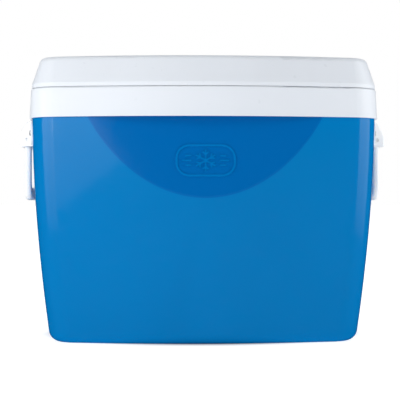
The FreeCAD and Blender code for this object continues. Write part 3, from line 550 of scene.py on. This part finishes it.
# Painted light: the handle brackets and pins are a brighter white than the trim, so that they look washed
# out as under strong light.
BRACKET_WHITE_PAINTED_LIGHT = MouldedPlastic(
    slot="bracket_white",
    base=(0.93, 0.955, 0.985),
    cloud=(0.915, 0.945, 0.975),
    rubbed=(0.88, 0.90, 0.92),
    roughness=0.32,
    grain_depth=0.008 * MM,
    ripple_size=24.0 * MM,
    ripple_depth=0.05 * MM,
    subsurface=0.3,
    subsurface_depth=5.0 * MM,
)
LINER_WHITE = MouldedPlastic(
    slot="liner_white",
    base=(0.80, 0.82, 0.84),
    cloud=(0.77, 0.79, 0.80),
    rubbed=(0.70, 0.71, 0.71),
    roughness=0.24,
    grain_depth=0.005 * MM,
    ripple_depth=0.15 * MM,
    subsurface=0.05,
)

Finish = MouldedPlastic | ClosedCellFoam | PlatedSteel | SoftRubber


@dataclass
class FinishBook:
    """Every finish, made once and handed to the nodes and pieces that wear it."""

    finishes: tuple[Finish, ...] = (
        SHELL_BLUE,
        TRIM_WHITE,
        HANDLE_WHITE_PAINTED_LIGHT,
        BRACKET_WHITE_PAINTED_LIGHT,
        LINER_WHITE,
        ClosedCellFoam(),
        SoftRubber(),
        PlatedSteel(),
    )
    made: dict[str, bpy.types.Material] = field(default_factory=dict)

    def material(self, slot: str) -> bpy.types.Material:
        """The material of a slot, made when it is first asked for.

        Args:
            slot: the record's material slot.

        Returns:
            The material.
        """
        if slot not in self.made:
            finish = next(f for f in self.finishes if f.slot == slot)
            self.made[slot] = finish.make()
        return self.made[slot]

    def dress(self, piece: bpy.types.Object, slot: str) -> None:
        """Give a piece its slot's material.

        Args:
            piece: a mesh object.
            slot: the record's material slot.
        """
        piece.data.materials.clear()
        piece.data.materials.append(self.material(slot))


@dataclass
class PackedNodes:
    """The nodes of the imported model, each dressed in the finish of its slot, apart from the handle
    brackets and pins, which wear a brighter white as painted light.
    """

    frame: dict
    book: FinishBook
    # Nodes that wear the brighter bracket white, as painted light.
    painted_light_nodes: tuple[str, ...] = ("handle_bracket", "handle_pin")

    def dress_all(self) -> None:
        """Dress every node by the record's list of sub-parts."""
        for subpart in self.frame["record"]["subparts"]:
            node = self.frame["nodes"][subpart["node"]]
            finish = subpart["material_slot"]
            # Painted light: handle brackets and pins get a brighter white than the trim.
            if subpart["node"].startswith(self.painted_light_nodes):
                finish = BRACKET_WHITE_PAINTED_LIGHT.slot
            self.book.dress(node, finish)
            LOG.info("node %s wears %s", node.name, finish)


@dataclass
class Skin:
    """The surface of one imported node, for finding where a moulded detail stands."""

    node: bpy.types.Object

    def __post_init__(self) -> None:
        """Index the node's faces."""
        mesh = self.node.data
        self.tree = BVHTree.FromPolygons([v.co for v in mesh.vertices], [p.vertices for p in mesh.polygons])

    def hit(self, start: Vector, way: Vector) -> tuple[Vector, Vector]:
        """First point that a ray meets.

        Args:
            start: where the ray starts.
            way: its direction.

        Returns:
            The point, and the normal there, turned against the ray.
        """
        point, normal, _, _ = self.tree.ray_cast(start, way)
        if point is None:
            raise ValueError(f"nothing of {self.node.name} lies that way")
        return point, normal if normal.dot(way) < 0.0 else -normal


@dataclass(frozen=True)
class Bead:
    """A raised moulded bead with a half-round section, its foot sunk a little into the surface."""

    width: float
    height: float
    sink: float = 0.3 * MM
    arc_steps: int = 8
    tip_share: float = 0.05

    def section(self, seat: tuple[Vector, Vector], along: Vector, share: float) -> list[Vector]:
        """Corners of the bead's section at one point of its path.

        Args:
            seat: the point on the surface, and the normal there.
            along: direction of the path.
            share: size of this section, from 0 at a rounded end to 1.

        Returns:
            The corners, from one foot over the crest to the other foot.
        """
        point, normal = seat
        across = along.cross(normal).normalized()
        corners = []
        for step in range(self.arc_steps + 1):
            angle = math.pi * step / self.arc_steps
            side = across * (math.cos(angle) * self.width / 2.0 * share)
            lift = math.sin(angle) * (self.height + self.sink) * share - self.sink
            corners.append(point + side + normal * lift)
        return corners

    def add(self, mesh: bmesh.types.BMesh, path: list[tuple[Vector, Vector]], closed: bool = False) -> None:
        """Add one bead along a path.

        Args:
            mesh: the mesh that gets it.
            path: points on the surface, each with its normal.
            closed: whether the path returns to its start.
        """
        count = len(path)
        total = [0.0]
        for (here, _), (there, _) in zip(path, path[1:]):
            total.append(total[-1] + (there - here).length)
        rings = []
        for place in range(count):
            before = path[(place - 1) % count][0] if closed or place else path[0][0]
            after = path[(place + 1) % count][0] if closed or place < count - 1 else path[-1][0]
            inward = min(total[place], total[-1] - total[place]) / (self.width / 2.0)
            share = 1.0
            if not closed and inward < 1.0:
                share = max(self.tip_share, math.sqrt(1.0 - (1.0 - inward) ** 2))
            corners = self.section(path[place], (after - before).normalized(), share)
            rings.append([mesh.verts.new(corner) for corner in corners])
        pairs = list(zip(rings, rings[1:] + rings[:1])) if closed else list(zip(rings, rings[1:]))
        for first, second in pairs:
            size = len(first)
            for corner in range(size):
                following = (corner + 1) % size
                mesh.faces.new((first[corner], first[following], second[following], second[corner]))
        if not closed:
            mesh.faces.new(rings[0])
            mesh.faces.new(list(reversed(rings[-1])))


@dataclass
class MouldedDetail:
    """What every added detail shares: it is dressed, given a slot and made to ride on a body."""

    book: FinishBook

    def settle(self, name: str, mesh: bmesh.types.BMesh, body: str, slot: str) -> bpy.types.Object:
        """Turn a mesh into a finished piece.

        Args:
            name: the piece's name.
            mesh: its faces, which are freed.
            body: the body that it rides on.
            slot: the material slot that it wears.

        Returns:
            The piece.
        """
        bmesh.ops.recalc_face_normals(mesh, faces=mesh.faces)
        data = bpy.data.meshes.new(name)
        mesh.to_mesh(data)
        mesh.free()
        data.shade_smooth()
        piece = bpy.data.objects.new(name, data)
        bpy.context.scene.collection.objects.link(piece)
        self.book.dress(piece, slot)
        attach(piece, body)
        LOG.info("piece %s: %d faces, rides on %s", name, len(data.polygons), body)
        return piece


@dataclass
class GripRibs(MouldedDetail):
    """Fine ribs across the outer and lower faces of a handle's grip, under the fingers."""

    side: Side = Side.RIGHT
    count: int = 9
    pitch: float = 9.0 * MM
    rise: float = 8.5 * MM
    first_angle: float = math.radians(-25.0)
    last_angle: float = math.radians(-108.0)
    steps: int = 18
    reach: float = 30.0 * MM
    bead: Bead = Bead(width=2.2 * MM, height=0.55 * MM)

    def build(self) -> bpy.types.Object:
        """Build the ribs of one handle.

        Returns:
            The piece.
        """
        node = "handle_" + self.side.word
        skin = Skin(frame["nodes"][node])
        outward = Vector((self.side.value, 0.0, 0.0))
        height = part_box(node)[0][2] + self.rise
        mesh = bmesh.new()
        for number in range(self.count):
            along = (number - (self.count - 1) / 2.0) * self.pitch
            level = Vector((0.0, along, height))
            inner, _ = skin.hit(level, outward)
            outer, _ = skin.hit(level + outward, -outward)
            self.bead.add(mesh, self._path(skin, (inner + outer) / 2.0))
        return self.settle("grip_ribs_" + self.side.word, mesh, node, "handle_white")

    def _path(self, skin: Skin, middle: Vector) -> list[tuple[Vector, Vector]]:
        """Points round the grip's outside, from its outer face to its underside.

        Args:
            skin: the handle's surface.
            middle: the middle of the grip's section.

        Returns:
            The points, each with its normal.
        """
        path = []
        for step in range(self.steps + 1):
            angle = self.first_angle + (self.last_angle - self.first_angle) * step / self.steps
            way = Vector((self.side.value * math.cos(angle), 0.0, math.sin(angle)))
            path.append(skin.hit(middle + way * self.reach, -way))
        return path


@dataclass
class LinerFloorRibs(MouldedDetail):
    """Low bars on the liner's floor, which keep what is packed out of the melt water."""

    count: int = 5
    pitch: float = 36.0 * MM
    half_length: float = 150.0 * MM
    shortening: float = 9.0 * MM
    steps: int = 60
    look_from: float = 0.25
    bead: Bead = Bead(width=7.0 * MM, height=1.6 * MM)

    def build(self) -> bpy.types.Object:
        """Build the bars.

        Returns:
            The piece.
        """
        skin = Skin(frame["nodes"]["inner_liner"])
        mesh = bmesh.new()
        for number in range(self.count):
            step_out = number - (self.count - 1) / 2.0
            half = self.half_length - abs(step_out) * self.shortening
            path = []
            for step in range(self.steps + 1):
                across = -half * math.cos(math.pi * step / self.steps)
                start = Vector((across, step_out * self.pitch, self.look_from))
                path.append(skin.hit(start, -UP))
            self.bead.add(mesh, path)
        return self.settle("liner_floor_ribs", mesh, "chest", "liner_white")


@dataclass
class LidPanBeads(MouldedDetail):
    """Two rounded stiffening beads, one inside the other, on the underside of the lid."""

    outer_half: tuple[float, float] = (172.0 * MM, 106.0 * MM)
    spacing: float = 26.0 * MM
    corner: float = 42.0 * MM
    loops: int = 2
    corner_steps: int = 14
    look_from: float = 0.25
    bead: Bead = Bead(width=5.0 * MM, height=1.1 * MM)

    def build(self) -> bpy.types.Object:
        """Build the beads.

        Returns:
            The piece.
        """
        skin = Skin(frame["nodes"]["lid_pan"])
        mesh = bmesh.new()
        for loop in range(self.loops):
            half_x, half_y = (half - loop * self.spacing for half in self.outer_half)
            corner = self.corner - loop * self.spacing / 2.0
            outline = self._outline(half_x, half_y, corner)
            path = [skin.hit(Vector((x, y, self.look_from)), UP) for x, y in outline]
            self.bead.add(mesh, path, closed=True)
        return self.settle("lid_pan_beads", mesh, "lid", "liner_white")

    def _outline(self, half_x: float, half_y: float, corner: float) -> list[tuple[float, float]]:
        """A rectangle with round corners.

        Args:
            half_x: half its length.
            half_y: half its depth.
            corner: radius of the corners.

        Returns:
            Its points, in order.
        """
        outline = []
        for quarter, (sign_x, sign_y) in enumerate(((1, 1), (-1, 1), (-1, -1), (1, -1))):
            for step in range(self.corner_steps + 1):
                angle = math.pi / 2.0 * (quarter + step / self.corner_steps)
                x = sign_x * (half_x - corner) + corner * math.cos(angle)
                y = sign_y * (half_y - corner) + corner * math.sin(angle)
                outline.append((x, y))
        return outline


@dataclass
class CupRestBeads(MouldedDetail):
    """A thin raised ring round each of the four cup rests in the lid's top."""

    centre_x: float = 118.0 * MM
    centre_y: float = 52.0 * MM
    radius: float = 40.2 * MM
    steps: int = 72
    look_from: float = 0.5
    bead: Bead = Bead(width=2.6 * MM, height=0.8 * MM)

    def build(self) -> bpy.types.Object:
        """Build the rings.

        Returns:
            The piece.
        """
        skin = Skin(frame["nodes"]["lid_cover"])
        mesh = bmesh.new()
        for sign_x in (-1.0, 1.0):
            for sign_y in (-1.0, 1.0):
                path = []
                for step in range(self.steps):
                    angle = 2.0 * math.pi * step / self.steps
                    x = sign_x * self.centre_x + self.radius * math.cos(angle)
                    y = sign_y * self.centre_y + self.radius * math.sin(angle)
                    path.append(skin.hit(Vector((x, y, self.look_from)), -UP))
                self.bead.add(mesh, path, closed=True)
        return self.settle("cup_rest_beads", mesh, "lid", "trim_white")


@dataclass(frozen=True)
class Softbox:
    """One rectangular light and where it hangs."""

    name: str
    place: Place
    aim: Place
    width: float
    height: float
    power: float
    roll: float = 0.0
    seen: bool = True
    foot_share: float = 1.0
    right_share: float = 1.0
    fade_height: float = 0.5

    def hang(self) -> None:
        """Make the light and turn it to its aim."""
        data = bpy.data.lights.new(self.name, "AREA")
        data.shape = "RECTANGLE"
        data.size, data.size_y = self.width, self.height
        data.energy = self.power
        lamp = bpy.data.objects.new(self.name, data)
        lamp.location = self.place
        facing = (Vector(self.aim) - Vector(self.place)).to_track_quat("-Z", "Y")
        lamp.rotation_euler = (facing.to_matrix() @ Matrix.Rotation(self.roll, 3, "Z")).to_euler()
        lamp.visible_camera = False
        lamp.visible_glossy = self.seen
        if self.foot_share < 1.0 or self.right_share < 1.0:
            self._fade(data)
        bpy.context.scene.collection.objects.link(lamp)

    def _fade(self, data: bpy.types.AreaLight) -> None:
        """Make the light weaker towards its foot and its right edge, as a real softbox is.

        Args:
            data: the light.
        """
        data.use_nodes = True
        tree = data.node_tree
        tree.nodes.clear()
        where = tree.nodes.new("ShaderNodeNewGeometry")
        axes = tree.nodes.new("ShaderNodeSeparateXYZ")
        tree.links.new(where.outputs["Parametric"], axes.inputs["Vector"])
        shares = []
        fades = (("Y", self.foot_share, self.fade_height), ("X", self.right_share, 1.0))
        for axis, weakest, reach in fades:
            share = tree.nodes.new("ShaderNodeMapRange")
            share.inputs["From Max"].default_value = reach
            share.inputs["To Min"].default_value = weakest
            tree.links.new(axes.outputs[axis], share.inputs["Value"])
            shares.append(share.outputs["Result"])
        strength = tree.nodes.new("ShaderNodeMath")
        strength.operation = "MULTIPLY"
        tree.links.new(shares[0], strength.inputs[0])
        tree.links.new(shares[1], strength.inputs[1])
        glow = tree.nodes.new("ShaderNodeEmission")
        output = tree.nodes.new("ShaderNodeOutputLight")
        tree.links.new(strength.outputs[0], glow.inputs["Strength"])
        tree.links.new(glow.outputs["Emission"], output.inputs["Surface"])


@dataclass
class Studio:
    """Pale floor, soft lights and the camera."""

    # Camera: its lens as a multiple of the sensor, its place round the chest, and its fine aim.
    focal_ratio: float = 3.00025
    sensor_mm: float = 36.0
    distance: float = 1.708
    azimuth: float = math.radians(2.07)
    eye_height: float = 0.1906
    pan: float = -0.0010
    pitch: float = -0.0010
    # World: the backdrop that the camera sees, and the even light, which is stronger from behind.
    backdrop: float = 1.0
    backdrop_tint: Colour = (1.0, 1.0, 1.0)
    ambient: float = 0.18
    ambient_behind: float = 0.85
    ambient_tint: Colour = (0.96, 0.98, 1.0)
    behind_from: float = 0.1
    behind_to: float = 0.7
    # Floor: paper that glows, apart from an oval under the chest, which is a painted contact shadow; its
    # glow also grows further out, as painted light.
    floor_half: float = 30.0
    floor_grey: float = 0.5
    floor_roughness: float = 0.9
    floor_grain: float = 3.0 * MM
    floor_grain_depth: float = 0.01 * MM
    floor_glow: float = 0.82
    far_glow: float = 1.0
    floor_squeeze: float = 0.70
    shade_start: float = 0.125
    shade_end: float = 0.160
    glow_end: float = 2.0
    lights: tuple[Softbox, ...] = (
        Softbox(
            "key_softbox",
            place=(-0.575, -0.90, 0.554),
            aim=(-0.575, 0.0, 0.554),
            width=0.66,
            height=0.85,
            power=2.5,
            roll=math.radians(26.0),
            foot_share=0.35,
            right_share=0.7,
        ),
        Softbox(
            "left_softbox",
            place=(-0.80, -0.56, 0.495),
            aim=(-0.205, -0.136, 0.495),
            width=0.64,
            height=0.95,
            power=3.9,
            foot_share=0.15,
        ),
        Softbox(
            "right_softbox",
            place=(0.90, -0.285, 0.495),
            aim=(0.209, -0.137, 0.495),
            width=0.70,
            height=0.95,
            power=3.4,
            foot_share=0.15,
        ),
        Softbox(
            "left_fill",
            place=(-0.569, -0.90, 0.554),
            aim=(-0.569, 0.0, 0.554),
            width=0.66,
            height=0.85,
            power=2.5,
            seen=False,
        ),
        Softbox(
            "right_fill",
            place=(0.90, -0.265, 0.51),
            aim=(0.209, -0.137, 0.51),
            width=0.76,
            height=0.90,
            power=1.7,
            seen=False,
        ),
        Softbox(
            "top_light",
            place=(0.0, 0.05, 1.55),
            aim=(0.0, 0.05, 0.3),
            width=0.6,
            height=0.45,
            power=3.2,
            seen=False,
        ),
        Softbox(
            "back_light",
            place=(0.0, 1.9, 1.0),
            aim=(0.0, 0.0, 0.25),
            width=2.0,
            height=1.2,
            power=6.0,
        ),
    )

    def build(self) -> None:
        """Make the floor, the world, the lights and the camera."""
        self._floor()
        self._world()
        for light in self.lights:
            light.hang()
        self._camera()

    def _floor(self) -> None:
        """A wide pale floor that glows enough to be clean white, with a painted contact shadow under the
        chest.
        """
        half = self.floor_half
        mesh = bpy.data.meshes.new("studio_floor")
        corners = [(-half, -half, 0.0), (half, -half, 0.0), (half, half, 0.0), (-half, half, 0.0)]
        mesh.from_pydata(corners, [], [(0, 1, 2, 3)])
        floor = bpy.data.objects.new("studio_floor", mesh)
        bpy.context.scene.collection.objects.link(floor)
        floor.visible_glossy = False
        sheet = NodeSheet("studio_paper")
        shader = sheet.surface(
            {
                "Base Color": (self.floor_grey, self.floor_grey, self.floor_grey, 1.0),
                "Roughness": self.floor_roughness,
                "Specular IOR Level": 0.0,
                "Emission Color": (1.0, 1.0, 1.0, 1.0),
            }
        )
        grain = sheet.bump(sheet.noise(self.floor_grain), self.floor_grain_depth)
        sheet.link(grain, shader.inputs["Normal"])
        from_middle = sheet.tree.nodes.new("ShaderNodeVectorMath")
        from_middle.operation = "LENGTH"
        sheet.link(sheet.stretched((self.floor_squeeze, 1.0, 0.0)), from_middle.inputs[0])
        reach = from_middle.outputs["Value"]
        # Painted contact shadow: no glow in an oval under the chest, rising to floor_glow round it; past
        # that, painted light raises the glow to far_glow.
        glow_round_painted_shadow = sheet.spread(reach, self.shade_start, self.shade_end, 0.0, self.floor_glow)
        painted_outer_glow = sheet.spread(reach, self.shade_end, self.glow_end, 0.0, self.far_glow - self.floor_glow)
        sheet.link(sheet.maths("ADD", glow_round_painted_shadow, painted_outer_glow), shader.inputs["Emission Strength"])
        sheet.material.cycles.emission_sampling = "NONE"
        mesh.materials.append(sheet.material)

    def _world(self) -> None:
        """White behind the chest, and a dimmer even light on it that doesn't show in reflections."""
        world = bpy.data.worlds.new("studio_world")
        bpy.context.scene.world = world
        world.use_nodes = True
        tree = world.node_tree
        tree.nodes.clear()
        output = tree.nodes.new("ShaderNodeOutputWorld")
        path = tree.nodes.new("ShaderNodeLightPath")
        choice = tree.nodes.new("ShaderNodeMixShader")
        tree.links.new(path.outputs["Is Camera Ray"], choice.inputs["Fac"])
        even_light = tree.nodes.new("ShaderNodeBackground")
        even_light.inputs["Color"].default_value = (*self.ambient_tint, 1.0)
        tree.links.new(even_light.outputs["Background"], choice.inputs[1])
        plain_white = tree.nodes.new("ShaderNodeBackground")
        plain_white.inputs["Strength"].default_value = self.backdrop
        plain_white.inputs["Color"].default_value = (*self.backdrop_tint, 1.0)
        tree.links.new(plain_white.outputs["Background"], choice.inputs[2])
        heading = tree.nodes.new("ShaderNodeTexCoord")
        axes = tree.nodes.new("ShaderNodeSeparateXYZ")
        tree.links.new(heading.outputs["Generated"], axes.inputs["Vector"])
        behind = tree.nodes.new("ShaderNodeMapRange")
        behind.inputs["From Min"].default_value = self.behind_from
        behind.inputs["From Max"].default_value = self.behind_to
        behind.inputs["To Min"].default_value = self.ambient
        behind.inputs["To Max"].default_value = self.ambient_behind
        tree.links.new(axes.outputs["Y"], behind.inputs["Value"])
        tree.links.new(behind.outputs["Result"], even_light.inputs["Strength"])
        tree.links.new(choice.outputs["Shader"], output.inputs["Surface"])
        world.cycles_visibility.glossy = False

    def _camera(self) -> None:
        """The camera, level with the chest's middle."""
        data = bpy.data.cameras.new("studio_camera")
        data.sensor_width = self.sensor_mm
        data.lens = self.focal_ratio * self.sensor_mm
        camera = bpy.data.objects.new("studio_camera", data)
        bpy.context.scene.collection.objects.link(camera)
        place = Vector((-math.sin(self.azimuth), -math.cos(self.azimuth), 0.0)) * self.distance
        place.z = self.eye_height
        heading = self.azimuth + self.pan
        look = Vector((math.sin(heading), math.cos(heading), math.tan(self.pitch)))
        camera.location = place
        camera.rotation_euler = look.to_track_quat("-Z", "Y").to_euler()
        bpy.context.scene.camera = camera


def main() -> None:
    """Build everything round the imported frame."""
    logging.basicConfig(level=logging.INFO, format="%(name)s: %(message)s")
    bpy.context.scene.view_settings.view_transform = "Standard"
    book = FinishBook()
    PackedNodes(frame, book).dress_all()
    for side in Side:
        GripRibs(book, side=side).build()
    LinerFloorRibs(book).build()
    LidPanBeads(book).build()
    CupRestBeads(book).build()
    Studio().build()


if __name__ == "__main__":
    main()
